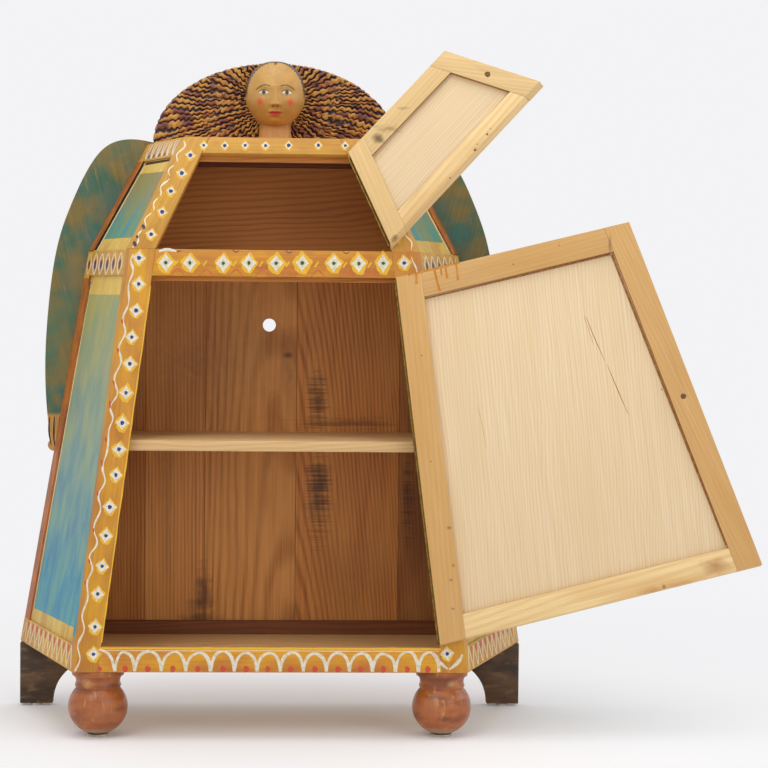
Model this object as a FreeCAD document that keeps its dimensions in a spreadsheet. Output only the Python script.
import FreeCAD, Part
import Sketcher
import math
import os

from FreeCAD import Placement, Rotation, Vector

# A free-standing folk cabinet shaped as a woman in a wide skirt.
# Millimetres, +Z up, the front faces -Y, and the origin lies on the floor
# under the middle of the floor board.

doc = FreeCAD.newDocument("skirt_cabinet")
sheet = doc.addObject("Spreadsheet::Sheet", "dims")

# Driving sizes of the two storeys: how high each one is, half widths of the
# front face and how far it leans back over each storey.
BODY_SIZES = {
    "foot_height": 121,
    "depth": 360,
    "splay_angle": 20,
    "base_half": 350,
    "waist_half": 257,
    "top_half": 163,
    "waist_setback": 93,
    "upper_setback": 50,
    "waist_height": 750,
    "upper_height": 205,
}

# Frame members, panels and inner boards.
FRAME_SIZES = {
    "frame_thickness": 19,
    "post_width": 44,
    "post_return": 28,
    "back_stile_width": 36,
    "base_rail_height": 45,
    "waist_rail_height": 48,
    "top_rail_height": 30,
    "side_top_rail_height": 36,
    "panel_thickness": 6,
    "panel_recess": 4,
    "panel_tongue": 8,
    "board_thickness": 19,
    "plank_thickness": 19,
    "plank_joint": 0.5,
    "outer_seam": 243,
    "left_seam": 129,
    "middle_seam": 45,
    "cable_hole_radius": 12.5,
    "cable_hole_offset": 8,
    "cable_hole_height": 611,
    "shelf_height": 388,
    "shelf_setback": 70,
    "cleat_height": 25,
    "cleat_width": 19,
    "stop_clearance": 0.4,
    "main_stop_height": 38,
    "latch_hole_radius": 3,
    "latch_hole_depth": 12,
    "latch_hole_height": 395,
}

# Doors, all members the same thickness as the frame they close.
DOOR_SIZES = {
    "door_thickness": 19,
    "door_gap": 2,
    "main_member_width": 46,
    "upper_member_width": 36,
    "main_bottom_bevel": 3.4,
    "upper_bottom_bevel": 9.5,
    "door_panel_thickness": 6,
    "door_panel_inset": 5,
    "door_panel_tongue": 8,
    "open_angle": 180,
}

# Piano hinges, one along the leaning edge of each door.
HINGE_SIZES = {
    "leaf_thickness": 1,
    "leaf_play": 0.4,
    "leaf_width": 15,
    "leaf_start": 0.5,
    "knuckle_radius": 2.5,
    "pin_radius": 1.2,
    "pin_clearance": 0.05,
    "knuckle_gap": 0.3,
    "main_knuckle_count": 25,
    "upper_knuckle_count": 7,
    "main_hinge_margin": 4,
    "upper_hinge_margin": 10,
    "main_screw_count": 7,
    "upper_screw_count": 3,
    "screw_head_radius": 2.4,
    "screw_shank_radius": 1.3,
    "screw_length": 13,
}

# Turned knobs, one in the middle of each door's free stile, with their screws.
KNOB_SIZES = {
    "knob_radius": 15,
    "knob_neck_radius": 7,
    "knob_base_radius": 10,
    "knob_base_height": 4,
    "knob_length": 27,
    "knob_screw_radius": 2,
    "knob_screw_head_radius": 5,
    "knob_screw_head_height": 2.5,
    "knob_screw_grip": 14,
    "knob_screw_sink": 0.5,
}

# Feet: two turned balls at the front, two bracket boards at the back.
FOOT_SIZES = {
    "ball_foot_inset": 42,
    "ball_foot_setback": 47,
    "ball_radius": 53,
    "ball_half_height": 50,
    "ball_centre_drop": 68,
    "collar_radius": 46,
    "collar_height": 9,
    "neck_radius": 39.5,
    "neck_drop": 24,
    "glide_height": 4,
    "glide_radius": 19,
    "bracket_length": 156,
    "bracket_thickness": 22,
    "bracket_inset": 2,
    "bracket_shank_width": 62,
    "bracket_arch_radius": 86,
}

# The figure: head, fan of hair and two flat arms.
FIGURE_SIZES = {
    "hair_inset": 10,
    "hair_height": 155,
    "hair_thickness": 25,
    "head_half_width": 56,
    "head_half_depth": 62,
    "head_half_height": 67,
    "head_height": 86,
    "head_standoff": 52,
    "neck_half_width": 32,
    "nose_length": 26,
    "nose_radius": 8,
    "nose_reach": 6,
    "arm_spread": 194,
    "arm_length": 597,
    "arm_thickness": 18,
    "shoulder_rise": 8,
    "arm_screw_radius": 4,
    "arm_screw_grip": 12,
}

SIZES = {}
for table in (BODY_SIZES, FRAME_SIZES, DOOR_SIZES, HINGE_SIZES, KNOB_SIZES, FOOT_SIZES, FIGURE_SIZES):
    SIZES.update(table)
for row, (alias, value) in enumerate(SIZES.items(), 1):
    sheet.set(f"A{row}", alias)
    sheet.set(f"B{row}", str(value))
    sheet.setAlias(f"B{row}", alias)
doc.recompute()

# Cuts run past the faces that they open by this share of the depth.
OVERRUN_SHARE = 0.05
OVERRUN = OVERRUN_SHARE * sheet.depth

# The top of the upper storey, as an expression and as a number.
TOP_HEIGHT = "(dims.waist_height + dims.upper_height)"
top_height = sheet.waist_height + sheet.upper_height
top_setback = sheet.waist_setback + sheet.upper_setback
flare = math.tan(math.radians(sheet.splay_angle))
back_half_at_base = sheet.base_half + sheet.depth * flare
back_half_at_top = sheet.top_half + (sheet.depth - top_setback) * flare

nodes = {}


def keep(label, piece):
    piece.Label = label
    nodes[label] = piece
    return piece


# Expressions for the outer shape. Each storey is a frustum whose front leans
# back and whose sides lean in; heights run from the floor board's underside.
def between(low, high, bottom, top, height):
    share = f"(({height}) - {bottom}) / ({top} - {bottom})"
    return f"({low} + ({high} - {low}) * {share})"


class Storey:
    def __init__(self, bottom, top, halves, setbacks):
        self.bottom = bottom
        self.top = top
        self.halves = halves
        self.setbacks = setbacks

    def half(self, height):
        return between(self.halves[0], self.halves[1], self.bottom, self.top, height)

    def front(self, height):
        return between(self.setbacks[0], self.setbacks[1], self.bottom, self.top, height)

    # Length along the leaning front for one unit of height.
    def slope(self):
        lean = f"({self.setbacks[1]} - {self.setbacks[0]}) / ({self.top} - {self.bottom})"
        return f"sqrt(1 + ({lean})^2)"

    def up(self, height):
        return f"((({height}) - {self.bottom}) * {self.slope()})"

    # Width across the front for one unit square to a leaning edge.
    def secant(self):
        lean = f"({self.halves[0]} - {self.halves[1]}) / (({self.top} - {self.bottom}) * {self.slope()})"
        return f"sqrt(1 + ({lean})^2)"

    def behind_front(self, height):
        return f"({self.front(height)} + dims.frame_thickness * {self.slope()})"

    def side_start(self, height):
        across = f"{self.half(height)} * sin(dims.splay_angle)"
        return f"({across} + {self.front(height)} * cos(dims.splay_angle))"

    def side_out(self, height):
        across = f"{self.half(height)} * cos(dims.splay_angle)"
        return f"({across} - {self.front(height)} * sin(dims.splay_angle))"

    def side_end(self, height):
        run = f"(dims.depth - {self.front(height)}) / cos(dims.splay_angle)"
        return f"({self.side_start(height)} + {run})"

    # Half width inside the side frames at a height and a distance from the front.
    def inside(self, height, back):
        flare = f"(({back}) - {self.front(height)}) * tan(dims.splay_angle)"
        return f"({self.half(height)} + {flare} - dims.frame_thickness / cos(dims.splay_angle))"


LOWER = Storey(
    "0",
    "dims.waist_height",
    ("dims.base_half", "dims.waist_half"),
    ("0", "dims.waist_setback"),
)
UPPER = Storey(
    "dims.waist_height",
    TOP_HEIGHT,
    ("dims.waist_half", "dims.top_half"),
    ("dims.waist_setback", "(dims.waist_setback + dims.upper_setback)"),
)

# The frames in which members are drawn, as placements in the cabinet.
BODY = Placement(Vector(0, -sheet.depth / 2, sheet.foot_height), Rotation())
UPRIGHT = BODY * Placement(Vector(), Rotation(Vector(1, 0, 0), 90))
SIDE = BODY * Placement(Vector(), Rotation(Vector(0, 0, 1), 90 - sheet.splay_angle)
                        * Rotation(Vector(1, 0, 0), 90))


def face_frame(setback, height, rise, lean):
    tilt = math.degrees(math.atan2(lean, rise))
    return BODY * Placement(Vector(0, setback, height), Rotation(Vector(1, 0, 0), 90 - tilt))


LOWER_FACE = face_frame(0, 0, sheet.waist_height, sheet.waist_setback)
UPPER_FACE = face_frame(
    sheet.waist_setback,
    sheet.waist_height,
    sheet.upper_height,
    sheet.upper_setback,
)


# Small builders.
def wedge(name, span, low, high, place):
    solid = doc.addObject("Part::Wedge", name)
    for side, value in zip(("Ymin", "Ymax"), span):
        solid.setExpression(side, value)
    for side, value in zip(("Xmin", "Xmax", "Zmin", "Zmax"), low):
        solid.setExpression(side, value)
    for side, value in zip(("X2min", "X2max", "Z2min", "Z2max"), high):
        solid.setExpression(side, value)
    solid.Placement = place
    return solid


def box(name, length, width, height, place):
    solid = doc.addObject("Part::Box", name)
    solid.setExpression("Length", length)
    solid.setExpression("Width", width)
    solid.setExpression("Height", height)
    solid.Placement = place
    return solid


def cylinder(name, radius, height, place):
    solid = doc.addObject("Part::Cylinder", name)
    solid.setExpression("Radius", radius)
    solid.setExpression("Height", height)
    solid.Placement = place
    return solid


def cut(name, base, tool):
    result = doc.addObject("Part::Cut", name)
    result.Base = base
    result.Tool = tool
    return result


def common(name, base, tool):
    result = doc.addObject("Part::Common", name)
    result.Base = base
    result.Tool = tool
    return result


def fuse(name, pieces):
    result = doc.addObject("Part::MultiFuse", name)
    result.Shapes = pieces
    result.Refine = True
    return result


def group(name, pieces):
    result = doc.addObject("Part::Compound", name)
    result.Links = pieces
    return result


def solid_feature(name, shape, place):
    feature = doc.addObject("Part::Feature", name)
    feature.Shape = shape
    feature.Placement = place
    return feature


def mirror(name, source):
    result = doc.addObject("Part::Mirroring", name)
    result.Source = source
    result.Normal = Vector(1, 0, 0)
    result.Base = Vector(0, 0, 0)
    return result


def keep_pair(stem, right_piece):
    keep(f"{stem}_right", right_piece)
    return keep(f"{stem}_left", mirror(f"{stem}_left", right_piece))


# Level slabs that trim the leaning front members at the storeys' joints.
def storey_slab(name, bottom, rise):
    place = BODY * Placement(Vector(-2 * sheet.base_half, -OVERRUN, bottom), Rotation())
    return box(name, "4 * dims.base_half", "2 * dims.depth", rise, place)


lower_slab = storey_slab("lower_slab", 0, "dims.waist_height")
upper_slab = storey_slab("upper_slab", sheet.waist_height, "dims.upper_height")
SLABS = {id(LOWER): lower_slab, id(UPPER): upper_slab}
behind_back = box(
    "behind_back",
    "4 * dims.base_half",
    "dims.depth",
    f"2 * {TOP_HEIGHT}",
    BODY * Placement(Vector(-2 * sheet.base_half, sheet.depth, -OVERRUN), Rotation()),
)


# Corner posts: a front board and a side return in one piece.
def corner_post(name, storey, face):
    low = f"{storey.bottom} - {OVERRUN}"
    high = f"{storey.top} + {OVERRUN}"
    front_arm = wedge(
        f"{name}_front_arm",
        (storey.up(low), storey.up(high)),
        (f"{storey.half(low)} - dims.post_width", storey.half(low), "-dims.frame_thickness", "0"),
        (f"{storey.half(high)} - dims.post_width", storey.half(high), "-dims.frame_thickness", "0"),
        face,
    )
    side_arm = side_member(
        f"{name}_side_arm",
        storey,
        (storey.bottom, storey.top),
        lambda height: (storey.side_start(height), f"{storey.side_start(height)} + dims.post_return"),
    )
    trimmed = common(f"{name}_trimmed", front_arm, SLABS[id(storey)])
    return fuse(name, [trimmed, side_arm])


# Members in a side frame, as deep as the frame unless told otherwise.
def side_member(name, storey, span, run, depths=("dims.frame_thickness", "0")):
    ends = []
    for height in span:
        start, stop = run(height)
        out = storey.side_out(height)
        ends.append((start, stop, f"{out} - ({depths[0]})", f"{out} - ({depths[1]})"))
    return wedge(name, span, ends[0], ends[1], SIDE)


def side_opening(storey, overlap="0"):
    def run(height):
        start = f"{storey.side_start(height)} + dims.post_return - {overlap}"
        stop = f"{storey.side_end(height)} - dims.back_stile_width + {overlap}"
        return start, stop
    return run


def side_panel(name, storey, span):
    depths = ("dims.panel_recess + dims.panel_thickness", "dims.panel_recess")
    return side_member(name, storey, span, side_opening(storey, "dims.panel_tongue"), depths)


def side_rail(name, storey, span, panel):
    rail = side_member(f"{name}_blank", storey, span, side_opening(storey))
    return cut(name, rail, panel)


def back_stile(name, storey, panel):
    def run(height):
        return f"{storey.side_end(height)} - dims.back_stile_width", storey.side_end(height)
    blank = side_member(f"{name}_blank", storey, (storey.bottom, storey.top), run)
    squared = cut(f"{name}_squared", blank, behind_back)
    return cut(name, squared, panel)


# Front rails run between the posts in the leaning face.
def front_rail(name, storey, face, span):
    ends = []
    for height in span:
        half = f"({storey.half(height)} - dims.post_width)"
        ends.append((f"-{half}", half, "-dims.frame_thickness", "0"))
    blank = wedge(f"{name}_blank", (storey.up(span[0]), storey.up(span[1])), ends[0], ends[1], face)
    return common(name, blank, SLABS[id(storey)])


def front_frame():
    past = f"{OVERRUN}"
    spans = {
        "front_bottom_rail": (LOWER, LOWER_FACE, f"-{past}", "dims.base_rail_height"),
        "front_waist_rail": (
            LOWER, LOWER_FACE, "dims.waist_height - dims.waist_rail_height", f"dims.waist_height + {past}"),
        "front_top_rail": (
            UPPER, UPPER_FACE, f"{TOP_HEIGHT} - dims.top_rail_height", f"{TOP_HEIGHT} + {past}"),
    }
    for name, (storey, face, low, high) in spans.items():
        keep(name, front_rail(name, storey, face, (low, high)))


def side_frames():
    over = "dims.panel_tongue"
    under_waist = "dims.waist_height - dims.waist_rail_height"
    lower_span = (f"dims.base_rail_height - {over}", f"{under_waist} + {over}")
    lower_panel = side_panel("side_panel_lower_right", LOWER, lower_span)
    under_top = f"{TOP_HEIGHT} - dims.side_top_rail_height"
    upper_span = ("dims.waist_height", f"{under_top} + {over}")
    upper_panel = side_panel("side_panel_upper_right", UPPER, upper_span)
    keep_pair("side_panel_lower", lower_panel)
    keep_pair("side_panel_upper", upper_panel)
    rails = {
        "side_bottom_rail": (LOWER, ("0", "dims.base_rail_height"), lower_panel),
        "side_waist_rail": (LOWER, (under_waist, "dims.waist_height"), lower_panel),
        "side_top_rail": (UPPER, (under_top, TOP_HEIGHT), upper_panel),
    }
    for stem, (storey, span, panel) in rails.items():
        keep_pair(stem, side_rail(f"{stem}_right", storey, span, panel))
    keep_pair("back_stile_lower", back_stile("back_stile_lower_right", LOWER, lower_panel))
    keep_pair("back_stile_upper", back_stile("back_stile_upper_right", UPPER, upper_panel))
    return lower_panel, upper_panel


# Boards lie level between the side frames; each is as wide as its top allows.
def level_board(name, storey, bottom, top, front, back):
    spread = [storey.inside(top, edge) for edge in (front, back)]
    return wedge(
        name,
        (front, back),
        (f"-{spread[0]}", spread[0], bottom, top),
        (f"-{spread[1]}", spread[1], bottom, top),
        BODY,
    )


PLANK_FRONT = "(dims.depth - dims.plank_thickness)"


def boards():
    floor_top = "dims.board_thickness"
    floor_front = LOWER.behind_front(floor_top)
    keep("floor_board", level_board("floor_board", LOWER, "0", floor_top, floor_front, PLANK_FRONT))
    waist = "dims.waist_height"
    below = f"({waist} - dims.board_thickness)"
    divider_front = LOWER.behind_front(waist)
    keep("waist_divider", level_board("waist_divider", LOWER, below, waist, divider_front, PLANK_FRONT))
    shelf_top = "(dims.shelf_height + dims.board_thickness)"
    shelf_front = "dims.shelf_setback"
    shelf = level_board("middle_shelf", LOWER, "dims.shelf_height", shelf_top, shelf_front, PLANK_FRONT)
    keep("middle_shelf", shelf)
    under_top = f"({TOP_HEIGHT} - dims.board_thickness)"
    top_front = UPPER.behind_front(TOP_HEIGHT)
    keep("top_board", level_board("top_board", UPPER, under_top, TOP_HEIGHT, top_front, PLANK_FRONT))


def shelf_cleats():
    def run(height):
        start = f"{LOWER.side_start(height)} + dims.post_return"
        stop = f"{LOWER.side_end(height)} - dims.back_stile_width - dims.cleat_width"
        return start, stop
    span = ("dims.shelf_height - dims.cleat_height", "dims.shelf_height")
    depths = ("dims.frame_thickness + dims.cleat_width", "dims.frame_thickness")
    right = side_member("shelf_cleat_right", LOWER, span, run, depths)
    keep("shelf_cleats", group("shelf_cleats", [right, mirror("shelf_cleat_left", right)]))


def back_cleats():
    front = f"({PLANK_FRONT} - dims.cleat_width)"
    low = "dims.board_thickness"
    low_top = f"({low} + dims.cleat_height)"
    bottom = level_board("bottom_cleat", LOWER, low, low_top, front, PLANK_FRONT)
    high_top = f"({TOP_HEIGHT} - dims.board_thickness)"
    high = f"({high_top} - dims.cleat_height)"
    top = level_board("top_cleat", UPPER, high, high_top, front, PLANK_FRONT)
    keep("back_cleats", group("back_cleats", [bottom, top]))


# Strips that stop the closed doors, just behind the front rails.
def door_stop(name, storey, bottom, top):
    ends = []
    for height in (bottom, top):
        front = f"({storey.behind_front(height)} + dims.stop_clearance)"
        half = storey.inside(height, front)
        ends.append((f"-{half}", half, f"-({front} + dims.cleat_width)", f"-{front}"))
    return wedge(name, (bottom, top), ends[0], ends[1], UPRIGHT)


def door_stops():
    main_top = "(dims.waist_height - dims.board_thickness)"
    main_stop = door_stop("main_stop", LOWER, f"({main_top} - dims.main_stop_height)", main_top)
    upper_top = f"({TOP_HEIGHT} - dims.board_thickness)"
    upper_stop = door_stop("upper_stop", UPPER, f"({upper_top} - dims.cleat_height)", upper_top)
    keep("door_stops", group("door_stops", [main_stop, upper_stop]))


# The back: five upright planks below, one level board above.
def plank(name, storey, left, right):
    ends = []
    for height in (storey.bottom, storey.top):
        sides = [edge(height) if callable(edge) else edge for edge in (left, right)]
        ends.append((sides[0], sides[1], "-dims.depth", f"-{PLANK_FRONT}"))
    return wedge(name, (storey.bottom, storey.top), ends[0], ends[1], UPRIGHT)


def back_planks():
    def right_edge(height):
        return LOWER.inside(height, PLANK_FRONT)

    def left_edge(height):
        return f"-{LOWER.inside(height, PLANK_FRONT)}"
    seams = ["-dims.outer_seam", "-dims.left_seam", "dims.middle_seam", "dims.outer_seam"]
    joint = "dims.plank_joint / 2"
    starts = [left_edge] + [f"{seam} + {joint}" for seam in seams]
    stops = [f"{seam} - {joint}" for seam in seams] + [right_edge]
    planks = []
    for number, (start, stop) in enumerate(zip(starts, stops), 1):
        planks.append(plank(f"plank_{number}", LOWER, start, stop))
    spot = Vector(-sheet.cable_hole_offset, sheet.depth + OVERRUN, sheet.cable_hole_height)
    place = BODY * Placement(spot, Rotation(Vector(1, 0, 0), 90))
    drill = cylinder("cable_drill", "dims.cable_hole_radius", "dims.depth / 2", place)
    planks[2] = cut("plank_3_drilled", planks[2], drill)
    keep("back_planks", group("back_planks", planks))

    def upper_right(height):
        return UPPER.inside(height, PLANK_FRONT)

    def upper_left(height):
        return f"-{UPPER.inside(height, PLANK_FRONT)}"
    return plank("upper_back_blank", UPPER, upper_left, upper_right)


# Numbers for the hinges, worked out once from the sheet.
def storey_numbers(lower):
    if lower:
        halves = (sheet.base_half, sheet.waist_half)
        rise = sheet.waist_height
        lean = sheet.waist_setback
    else:
        halves = (sheet.waist_half, sheet.top_half)
        rise = sheet.upper_height
        lean = sheet.upper_setback
    return halves, rise, math.hypot(rise, lean)


class Door:
    def __init__(self, name, lower):
        self.name = name
        self.storey = LOWER if lower else UPPER
        self.face = LOWER_FACE if lower else UPPER_FACE
        halves, rise, slope_length = storey_numbers(lower)
        self.edge_run = halves[0] - halves[1]
        self.rise = rise
        self.slope_length = slope_length
        self.half = halves[0]
        if lower:
            self.low = "dims.base_rail_height"
            self.high = "(dims.waist_height - dims.waist_rail_height)"
            self.heights = (sheet.base_rail_height, sheet.waist_height - sheet.waist_rail_height)
            self.member = "dims.main_member_width"
            self.bevel = "dims.main_bottom_bevel"
            self.margin = sheet.main_hinge_margin
            self.knuckles = int(sheet.main_knuckle_count)
            self.screws = int(sheet.main_screw_count)
        else:
            self.low = "dims.waist_height"
            self.high = f"({TOP_HEIGHT} - dims.top_rail_height)"
            self.heights = (0, rise - sheet.top_rail_height)
            self.member = "dims.upper_member_width"
            self.bevel = "dims.upper_bottom_bevel"
            self.margin = sheet.upper_hinge_margin
            self.knuckles = int(sheet.upper_knuckle_count)
            self.screws = int(sheet.upper_screw_count)
        self.lean = math.atan2(self.edge_run, slope_length)

    # The hinge line: local Z up the line, local X into the closed door, local Y out.
    def hinge_frame(self):
        gap = 2 * sheet.leaf_thickness + sheet.leaf_play
        up = self.heights[0] * self.slope_length / self.rise
        edge = self.half - sheet.post_width - self.edge_run * up / self.slope_length
        start = Vector(edge - gap / 2 / math.cos(self.lean), up, sheet.knuckle_radius)
        turn = Rotation(
            Vector(-math.cos(self.lean), -math.sin(self.lean), 0),
            Vector(0, 0, 1),
            Vector(-math.sin(self.lean), math.cos(self.lean), 0),
            "ZXY",
        )
        return self.face * Placement(start, turn)

    def hinge_length(self):
        span = (self.heights[1] - self.heights[0]) * self.slope_length / self.rise
        return span / math.cos(self.lean)

    # Where the closed door's pieces stand once the door is swung open.
    def opened(self):
        frame = self.hinge_frame()
        swing = Placement(Vector(), Rotation(Vector(0, 0, 1), sheet.open_angle))
        return frame * swing * frame.inverse()

    # Left and right edges of the leaf at a height, drawn in from both edges.
    def edges(self, height, inset="0"):
        hinge_gap = "(2 * dims.leaf_thickness + dims.leaf_play)"
        opening = f"({self.storey.half(height)} - dims.post_width)"
        secant = self.storey.secant()
        left = f"-({opening} - (dims.door_gap + {inset}) * {secant})"
        right = f"({opening} - ({hinge_gap} + {inset}) * {secant})"
        return left, right

    def reach(self):
        slope = self.storey.slope()
        return f"({self.low} + dims.door_gap / {slope})", f"({self.high} - dims.door_gap / {slope})"


def door_wedge(name, door, span, run, depths=("dims.door_thickness", "0")):
    ends = []
    for height in span:
        start, stop = run(height)
        ends.append((start, stop, f"-({depths[0]})", f"-({depths[1]})"))
    levels = [door.storey.up(height) for height in span]
    return wedge(name, levels, ends[0], ends[1], door.face)


def door_panel_blank(name, door):
    slope = door.storey.slope()
    low, high = door.reach()
    inset = f"({door.member} - dims.door_panel_tongue)"
    span = (f"({low} + {inset} / {slope})", f"({high} - {inset} / {slope})")
    depths = ("dims.door_panel_inset + dims.door_panel_thickness", "dims.door_panel_inset")
    return door_wedge(name, door, span, lambda height: door.edges(height, inset), depths)


# A long wedge under the door that planes its bottom edge back, so that the
# corner beside the leaning hinge clears the rail as the door swings.
def bevel_tool(name, door):
    low = door.reach()[0]
    level = door.storey.up(low)
    past = f"{OVERRUN}"
    reach = f"(2 * {door.storey.half(door.storey.bottom)})"
    thick = "dims.door_thickness"
    per_depth = f"({door.bevel} / {thick})"
    tall = f"({thick} + {past})"
    # Drawn with its long axis across the door: the thin end is a line on the outer face.
    turned = door.face * Placement(Vector(), Rotation(Vector(1, 0, 0), -90))
    tool = doc.addObject("Part::Wedge", name)
    tool.setExpression("Xmin", f"-{reach}")
    tool.setExpression("Xmax", reach)
    tool.setExpression("X2min", f"-{reach}")
    tool.setExpression("X2max", reach)
    tool.setExpression("Ymin", f"-{past}")
    tool.setExpression("Ymax", tall)
    tool.setExpression("Zmin", f"{level} - {past}")
    tool.setExpression("Z2min", f"{level} - {past}")
    tool.setExpression("Zmax", f"{level} - {past} * {per_depth}")
    tool.setExpression("Z2max", f"{level} + {tall} * {per_depth}")
    tool.Placement = turned
    return tool


def door_members(door):
    name = door.name
    panel = door_panel_blank(f"{name}_groove", door)
    bevel = bevel_tool(f"{name}_bevel", door)
    low, high = door.reach()
    slope = door.storey.slope()
    secant = door.storey.secant()
    width = f"{door.member} * {secant}"
    rise = f"{door.member} / {slope}"

    def hinge_side(height):
        right = door.edges(height)[1]
        return f"{right} - {width}", right

    def free_side(height):
        left = door.edges(height)[0]
        return left, f"{left} + {width}"

    def middle(height):
        left, right = door.edges(height)
        return f"{left} + {width}", f"{right} - {width}"
    shapes = {
        "hinge_stile": ((low, high), hinge_side),
        "free_stile": ((low, high), free_side),
        "top_rail": ((f"({high} - {rise})", high), middle),
        "bottom_rail": ((low, f"({low} + {rise})"), middle),
    }
    members = {}
    for part, (span, run) in shapes.items():
        blank = door_wedge(f"{name}_{part}_blank", door, span, run)
        grooved = cut(f"{name}_{part}_grooved", blank, panel)
        members[part] = grooved if part == "top_rail" else cut(f"{name}_{part}_planed", grooved, bevel)
    return members


# Piano hinge: each leaf has every second knuckle, joined by a short neck.
def hinge_leaf(door, side, first):
    radius = sheet.knuckle_radius
    thick = sheet.leaf_thickness
    half_play = sheet.leaf_play / 2
    margin = door.margin
    length = door.hinge_length() - 2 * margin
    pitch = length / door.knuckles
    near = half_play if side > 0 else -half_play - thick
    deep = radius + sheet.leaf_start + sheet.leaf_width
    root = radius + sheet.leaf_start
    leaf = Part.makeBox(thick, sheet.leaf_width, length, Vector(near, -deep, margin))
    bore = sheet.pin_radius + sheet.pin_clearance
    pieces = []
    for number in range(first, door.knuckles, 2):
        bottom = margin + number * pitch + sheet.knuckle_gap / 2
        tall = pitch - sheet.knuckle_gap
        knuckle = Part.makeCylinder(radius, tall, Vector(0, 0, bottom))
        neck = Part.makeBox(thick, root, tall, Vector(near, -root, bottom))
        hole = Part.makeCylinder(bore, tall, Vector(0, 0, bottom))
        pieces.append(knuckle.fuse(neck).cut(hole))
    return leaf.fuse(pieces).removeSplitter()


# Screws stand in the middle of equal spans.
HALF_SHARE = 0.5


def screw_heights(door):
    span = door.hinge_length() - 2 * door.margin
    return [door.margin + span * (number + HALF_SHARE) / door.screws for number in range(door.screws)]


# Hinge screws, each with a flat head as thick as the leaf and a plain shank.
def leaf_screws(door, side):
    radius = sheet.knuckle_radius
    depth = radius + sheet.leaf_start + sheet.leaf_width / 2
    near = side * sheet.leaf_play / 2
    along = Vector(side, 0, 0)
    screws = []
    for height in screw_heights(door):
        start = Vector(near, -depth, height)
        head = Part.makeCylinder(sheet.screw_head_radius, sheet.leaf_thickness, start, along)
        shank = Part.makeCylinder(sheet.screw_shank_radius, sheet.screw_length, start, along)
        screws.append(head.fuse(shank).removeSplitter())
    return Part.makeCompound(screws)


def hinge_pin(door):
    length = door.hinge_length() - 2 * door.margin
    place = door.hinge_frame() * Placement(Vector(0, 0, door.margin), Rotation())
    pin = cylinder(f"{door.name}_pin", "dims.pin_radius", f"{length}", place)
    return pin


# Where a knob sits: the middle of the free stile's outer face, local Z out of the door.
def knob_place(door):
    gap = sheet.door_gap
    middle = (door.heights[0] + door.heights[1]) / 2
    up = middle * door.slope_length / door.rise
    opening = door.half - sheet.post_width - door.edge_run * up / door.slope_length
    member = sheet.main_member_width if door.storey is LOWER else sheet.upper_member_width
    across = -(opening - (gap + member / 2) / math.cos(door.lean))
    return door.face * Placement(Vector(across, up, 0), Rotation())


# A closed outline, drawn as a rough ring and then pulled into shape.
def profile_sketch(body, profile):
    sketch = body.newObject("Sketcher::SketchObject", f"{body.Name}_profile")
    plane = [item for item in body.Origin.OriginFeatures if item.Role == "XZ_Plane"][0]
    sketch.AttachmentSupport = [(plane, "")]
    sketch.MapMode = "FlatFace"
    count = len(profile)
    ring = []
    for number in range(count):
        turn = 2 * math.pi * number / count
        ring.append(sheet.knob_radius * Vector(1 + math.cos(turn), math.sin(turn), 0))
    for number in range(count):
        sketch.addGeometry(Part.LineSegment(ring[number], ring[(number + 1) % count]), False)
    for number in range(count):
        sketch.addConstraint(Sketcher.Constraint("Coincident", number, 2, (number + 1) % count, 1))
    for number, (across, up) in enumerate(profile):
        for kind, value in (("DistanceX", across), ("DistanceY", up)):
            index = sketch.addConstraint(Sketcher.Constraint(kind, -1, 1, number, 1, 1.0))
            sketch.setExpression(f"Constraints[{index}]", value)
    return sketch


def turned_body(name, profile, place):
    body = doc.addObject("PartDesign::Body", name)
    sketch = profile_sketch(body, profile)
    doc.recompute()
    revolve = body.newObject("PartDesign::Revolution", f"{name}_turning")
    revolve.Profile = sketch
    revolve.ReferenceAxis = (sketch, ["V_Axis"])
    revolve.Angle = 360
    body.Tip = revolve
    body.Placement = place
    return body


# Where the knob's neck starts and ends, as shares of its length, and the
# corners of its domed head, as shares of its radius and its length.
KNOB_NECK_SHARES = (0.24, 0.4)
KNOB_HEAD_SHARES = ((0.85, 0.5), (1, 0.68), (0.93, 0.85), (0.6, 0.97))


# A turned knob: base ring, waisted neck and a domed head, bored for its screw.
def knob_body(name, place):
    bore = "dims.knob_screw_radius"
    grip = "dims.knob_screw_grip"
    profile = [
        (bore, "0"),
        ("dims.knob_base_radius", "0"),
        ("dims.knob_base_radius", "dims.knob_base_height"),
    ]
    profile += [("dims.knob_neck_radius", f"dims.knob_length * {share}") for share in KNOB_NECK_SHARES]
    for across, along in KNOB_HEAD_SHARES:
        profile.append((f"dims.knob_radius * {across}", f"dims.knob_length * {along}"))
    profile += [("0", "dims.knob_length"), ("0", grip), (bore, grip)]
    return turned_body(name, profile, place)


# The knob's screw comes through the stile from inside, its head sunk in the wood.
def knob_screw(thickness):
    sink = sheet.knob_screw_sink
    head = Part.makeCone(
        sheet.knob_screw_head_radius,
        sheet.knob_screw_radius,
        sheet.knob_screw_head_height,
        Vector(0, 0, sink - thickness),
        Vector(0, 0, 1),
    )
    shank = Part.makeCylinder(
        sheet.knob_screw_radius, thickness - sink + sheet.knob_screw_grip, Vector(0, 0, sink - thickness))
    return head.fuse(shank).removeSplitter()


def knob_hole(thickness):
    sink = sheet.knob_screw_sink
    mouth = Part.makeCylinder(sheet.knob_screw_head_radius, sink, Vector(0, 0, -thickness))
    return knob_screw(thickness).fuse(mouth).removeSplitter()


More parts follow.
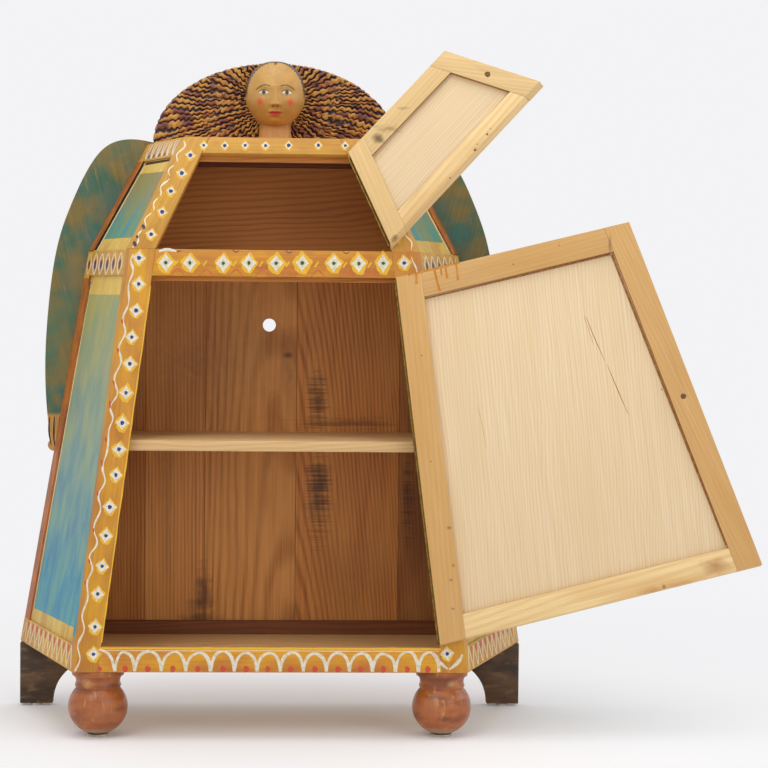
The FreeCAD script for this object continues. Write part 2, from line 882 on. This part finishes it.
def door_set(door):
    name = door.name
    members = door_members(door)
    frame = door.hinge_frame()
    opened = door.opened()
    place = knob_place(door)
    thickness = sheet.door_thickness
    hole = solid_feature(f"{name}_knob_hole", knob_hole(thickness), place)
    drills = solid_feature(f"{name}_leaf_screw_holes", leaf_screws(door, 1), frame)
    members["free_stile"] = cut(f"{name}_free_stile_bored", members["free_stile"], hole)
    members["hinge_stile"] = cut(f"{name}_hinge_stile_drilled", members["hinge_stile"], drills)
    for part, piece in members.items():
        piece.Placement = opened
        keep(f"{name}_{part}", piece)
    panel = door_panel_blank(f"{name}_panel", door)
    panel.Placement = opened * panel.Placement
    keep(f"{name}_panel", panel)
    knob = knob_body(f"{name}_knob", opened * place)
    keep(f"{name}_knob", knob)
    leaf = hinge_leaf(door, 1, 1).cut(leaf_screws(door, 1))
    keep(f"{name}_hinge_leaf", solid_feature(f"{name}_hinge_leaf", leaf, opened * frame))
    knob_screw_shape = knob_screw(thickness)
    knob_screw_shape.Placement = frame.inverse() * place
    screws = Part.makeCompound(leaf_screws(door, 1).Solids + [knob_screw_shape])
    keep(f"{name}_screws", solid_feature(f"{name}_screws", screws, opened * frame))


def frame_hinge(door, label):
    frame = door.hinge_frame()
    leaf = hinge_leaf(door, -1, 0).cut(leaf_screws(door, -1))
    keep(label, solid_feature(label, leaf, frame))
    return solid_feature(f"{door.name}_frame_screws", leaf_screws(door, -1), frame)


# Posts, with the hinge screws' holes on the right and the latch hole on the left.
def posts(lower_panel, upper_panel, main_screws, upper_screws):
    for stem, storey, face, panel, screws in (
        ("corner_post_lower", LOWER, LOWER_FACE, lower_panel, main_screws),
        ("corner_post_upper", UPPER, UPPER_FACE, upper_panel, upper_screws),
    ):
        plain = cut(f"{stem}_plain", corner_post(f"{stem}_solid", storey, face), panel)
        keep(f"{stem}_right", cut(f"{stem}_right", plain, screws))
        left = mirror(f"{stem}_left_plain", plain)
        if storey is LOWER:
            left = cut(f"{stem}_left", left, latch_drill())
        keep(f"{stem}_left", left)


def latch_drill():
    rise = sheet.waist_height
    share = sheet.latch_hole_height / rise
    half = sheet.base_half - (sheet.base_half - sheet.waist_half) * share
    length = math.hypot(rise, sheet.waist_setback)
    start = Vector(-(half - sheet.post_width / 2), share * length, -sheet.latch_hole_depth)
    place = LOWER_FACE * Placement(start, Rotation())
    return cylinder("latch_drill", "dims.latch_hole_radius", "2 * dims.latch_hole_depth", place)


# Turned front feet: collar, neck and ball in one piece.
def ball_foot():
    across = sheet.base_half - sheet.ball_foot_inset
    place = BODY * Placement(Vector(across, sheet.ball_foot_setback, 0), Rotation())
    ball = doc.addObject("Part::Ellipsoid", "foot_ball")
    ball.setExpression("Radius1", "dims.ball_half_height")
    ball.setExpression("Radius2", "dims.ball_radius")
    ball.setExpression("Radius3", "dims.ball_radius")
    ball.Placement = place * Placement(Vector(0, 0, -sheet.ball_centre_drop), Rotation())
    collar = cylinder("foot_collar", "dims.collar_radius", "dims.collar_height",
                      place * Placement(Vector(0, 0, -sheet.collar_height), Rotation()))
    flare = doc.addObject("Part::Cone", "foot_flare")
    flare.setExpression("Radius1", "dims.neck_radius")
    flare.setExpression("Radius2", "dims.collar_radius")
    flare.setExpression("Height", "dims.neck_drop - dims.collar_height")
    flare.Placement = place * Placement(Vector(0, 0, -sheet.neck_drop), Rotation())
    neck = cylinder("foot_neck", "dims.neck_radius", "dims.ball_centre_drop - dims.neck_drop",
                    place * Placement(Vector(0, 0, -sheet.ball_centre_drop), Rotation()))
    whole = fuse("foot_whole", [ball, collar, flare, neck])
    drop = sheet.foot_height - sheet.glide_height
    under = place * Placement(
        Vector(-sheet.foot_height, -sheet.foot_height, -drop - sheet.foot_height), Rotation())
    floor = box("foot_flat", "2 * dims.foot_height", "2 * dims.foot_height", "dims.foot_height", under)
    keep_pair("ball_foot", cut("ball_foot_right", whole, floor))


# Back feet: upright boards with a quarter-round arch on the inner side.
def bracket_foot():
    outer = back_half_at_base - sheet.bracket_inset
    back = sheet.depth - sheet.bracket_inset
    drop = sheet.foot_height - sheet.glide_height
    start = Vector(outer - sheet.bracket_length, back - sheet.bracket_thickness, -drop)
    tall = "dims.foot_height - dims.glide_height"
    blank = box("bracket_blank", "dims.bracket_length", "dims.bracket_thickness", tall,
                BODY * Placement(start, Rotation()))
    arch_place = Vector(
        outer - sheet.bracket_shank_width - sheet.bracket_arch_radius, back + OVERRUN, -drop)
    arch = cylinder("bracket_arch", "dims.bracket_arch_radius", "dims.depth / 2",
                    BODY * Placement(arch_place, Rotation(Vector(1, 0, 0), 90)))
    rest = Vector(arch_place.x - 2 * sheet.bracket_length, back - sheet.depth / 2, -drop)
    side = box("bracket_rest", "2 * dims.bracket_length", "dims.depth", "dims.bracket_arch_radius",
               BODY * Placement(rest, Rotation()))
    keep_pair("bracket_foot", cut("bracket_foot_right", blank, fuse("bracket_cutter", [arch, side])))
    return outer, back


def foot_glides(outer, back):
    glides = []
    front = (sheet.base_half - sheet.ball_foot_inset, sheet.ball_foot_setback, "dims.glide_radius")
    middle = outer - sheet.bracket_shank_width / 2
    rear = (middle, back - sheet.bracket_thickness / 2, "dims.bracket_thickness / 2")
    for number, (across, setback, radius) in enumerate((front, rear), 1):
        place = BODY * Placement(Vector(across, setback, -sheet.foot_height), Rotation())
        right = cylinder(f"glide_{number}", radius, "dims.glide_height", place)
        glides.extend([right, mirror(f"glide_{number}_left", right)])
    keep("foot_glides", group("foot_glides", glides))


# The fan of hair: half an ellipse standing on the back edge of the top.
def hair_board():
    wide = back_half_at_top - sheet.hair_inset
    tall = sheet.hair_height
    arc = Part.Arc(Part.Ellipse(Vector(), wide, tall), 0, math.pi).toShape()
    base = Part.LineSegment(Vector(-wide, 0, 0), Vector(wide, 0, 0)).toShape()
    fan = Part.Face(Part.Wire([arc, base])).extrude(Vector(0, 0, sheet.hair_thickness))
    place = BODY * Placement(
        Vector(0, sheet.depth, top_height), Rotation(Vector(1, 0, 0), 90))
    keep("hair_board", solid_feature("hair_board", fan, place))


# Head and neck, flat behind where they meet the hair board.
def head():
    fan_front = sheet.depth - sheet.hair_thickness
    place = BODY * Placement(Vector(0, fan_front - sheet.head_standoff, top_height), Rotation())
    skull = doc.addObject("Part::Ellipsoid", "skull")
    skull.setExpression("Radius1", "dims.head_half_height")
    skull.setExpression("Radius2", "dims.head_half_width")
    skull.setExpression("Radius3", "dims.head_half_depth")
    skull.Placement = place * Placement(Vector(0, 0, sheet.head_height), Rotation())
    neck = cylinder("neck", "dims.neck_half_width", "dims.head_height", place)
    nose = doc.addObject("Part::Ellipsoid", "nose")
    nose.setExpression("Radius1", "dims.nose_length / 2")
    nose.setExpression("Radius2", "dims.nose_radius")
    nose.setExpression("Radius3", "dims.nose_radius")
    tip = sheet.nose_reach - sheet.head_half_depth
    nose.Placement = place * Placement(Vector(0, tip, sheet.head_height), Rotation())
    whole = fuse("head_whole", [skull, neck, nose])
    behind = BODY * Placement(Vector(-sheet.base_half, fan_front, top_height), Rotation())
    hair_front = box("hair_front", "2 * dims.base_half", "dims.depth", TOP_HEIGHT, behind)
    keep("head", cut("head", whole, hair_front))


# Arm outline as shares: of the arm's reach across, and of its height from hand to shoulder.
OUTER_ARM_SHARES = (
    (0.38, 0.97), (0.5, 0.985), (0.605, 1.0), (0.72, 0.985), (0.813, 0.909), (0.878, 0.811),
    (0.934, 0.7), (0.972, 0.561), (0.99, 0.436), (1.0, 0.261), (0.99, 0.12), (0.976, 0.035),
)
INNER_ARM_SHARES = (
    (0.945, 0.035), (0.915, 0.12), (0.875, 0.27), (0.815, 0.47), (0.74, 0.66), (0.62, 0.81), (0.38, 0.86),
)
FINGERTIP_SHARES = (0.963, 0)
ARM_SCREW_SHARES = ((0.42, 0.93), (0.49, 0.94))


def arm_point(shares):
    reach = back_half_at_top + sheet.arm_spread
    shoulder = top_height + sheet.shoulder_rise
    return Vector(shares[0] * reach, shoulder - (1 - shares[1]) * sheet.arm_length, 0)


def arms(back_board):
    outer = Part.BSplineCurve()
    outer.interpolate([arm_point(shares) for shares in OUTER_ARM_SHARES])
    inner = Part.BSplineCurve()
    inner.interpolate([arm_point(shares) for shares in INNER_ARM_SHARES])
    hand = [arm_point(shares) for shares in (OUTER_ARM_SHARES[-1], FINGERTIP_SHARES, INNER_ARM_SHARES[0])]
    tip = Part.Arc(*hand)
    shoulder = Part.LineSegment(arm_point(INNER_ARM_SHARES[-1]), arm_point(OUTER_ARM_SHARES[0]))
    outline = Part.Wire([outer.toShape(), tip.toShape(), inner.toShape(), shoulder.toShape()])
    board = Part.Face(outline).extrude(Vector(0, 0, sheet.arm_thickness))
    place = BODY * Placement(
        Vector(0, sheet.depth + sheet.arm_thickness, 0), Rotation(Vector(1, 0, 0), 90))
    blank = solid_feature("arm_blank", board, place)
    length = "dims.arm_thickness + dims.arm_screw_grip"
    screws = []
    for number, spot_shares in enumerate(ARM_SCREW_SHARES, 1):
        spot = arm_point(spot_shares)
        start = Vector(spot.x, sheet.depth + sheet.arm_thickness, spot.y)
        seat = BODY * Placement(start, Rotation(Vector(1, 0, 0), 90))
        screws.append(cylinder(f"arm_screw_{number}", "dims.arm_screw_radius", length, seat))
    keep_pair("arm", cut("arm_right", blank, group("arm_holes", screws)))
    lefts = [mirror(f"{screw.Name}_left", screw) for screw in screws]
    all_screws = keep("arm_screws", group("arm_screws", screws + lefts))
    keep("upper_back_board", cut("upper_back_board", back_board, all_screws))


def build():
    lower_panel, upper_panel = side_frames()
    front_frame()
    boards()
    shelf_cleats()
    back_cleats()
    door_stops()
    back_board = back_planks()
    main_door = Door("main_door", True)
    upper_door = Door("upper_door", False)
    main_screws = frame_hinge(main_door, "main_hinge_frame_leaf")
    upper_screws = frame_hinge(upper_door, "upper_hinge_frame_leaf")
    posts(lower_panel, upper_panel, main_screws, upper_screws)
    keep("hinge_frame_screws", group("hinge_frame_screws", [main_screws, upper_screws]))
    keep("hinge_pins", group("hinge_pins", [hinge_pin(main_door), hinge_pin(upper_door)]))
    door_set(main_door)
    door_set(upper_door)
    ball_foot()
    outer, back = bracket_foot()
    foot_glides(outer, back)
    hair_board()
    head()
    arms(back_board)
    return main_door, upper_door


doors = build()
doc.recompute()

# Every object has to be sound before anything is written.
for item in doc.Objects:
    if "Invalid" in item.State or "Error" in item.State:
        raise RuntimeError(f"{item.Name} did not build: {item.State}")
for label, piece in nodes.items():
    if piece.Shape.isNull() or not piece.Shape.isValid():
        raise RuntimeError(f"{label} has no sound shape")

os.makedirs("parts", exist_ok=True)
for label, piece in nodes.items():
    piece.Shape.exportStep(f"parts/{label}.step")

for door in doors:
    frame = door.hinge_frame()
    axis = frame.Rotation.multVec(Vector(0, 0, 1))
    print(door.name, "hinge", [round(part, 4) for part in frame.Base])
    print(door.name, "axis", [round(part, 6) for part in axis])
print(len(nodes), "nodes")
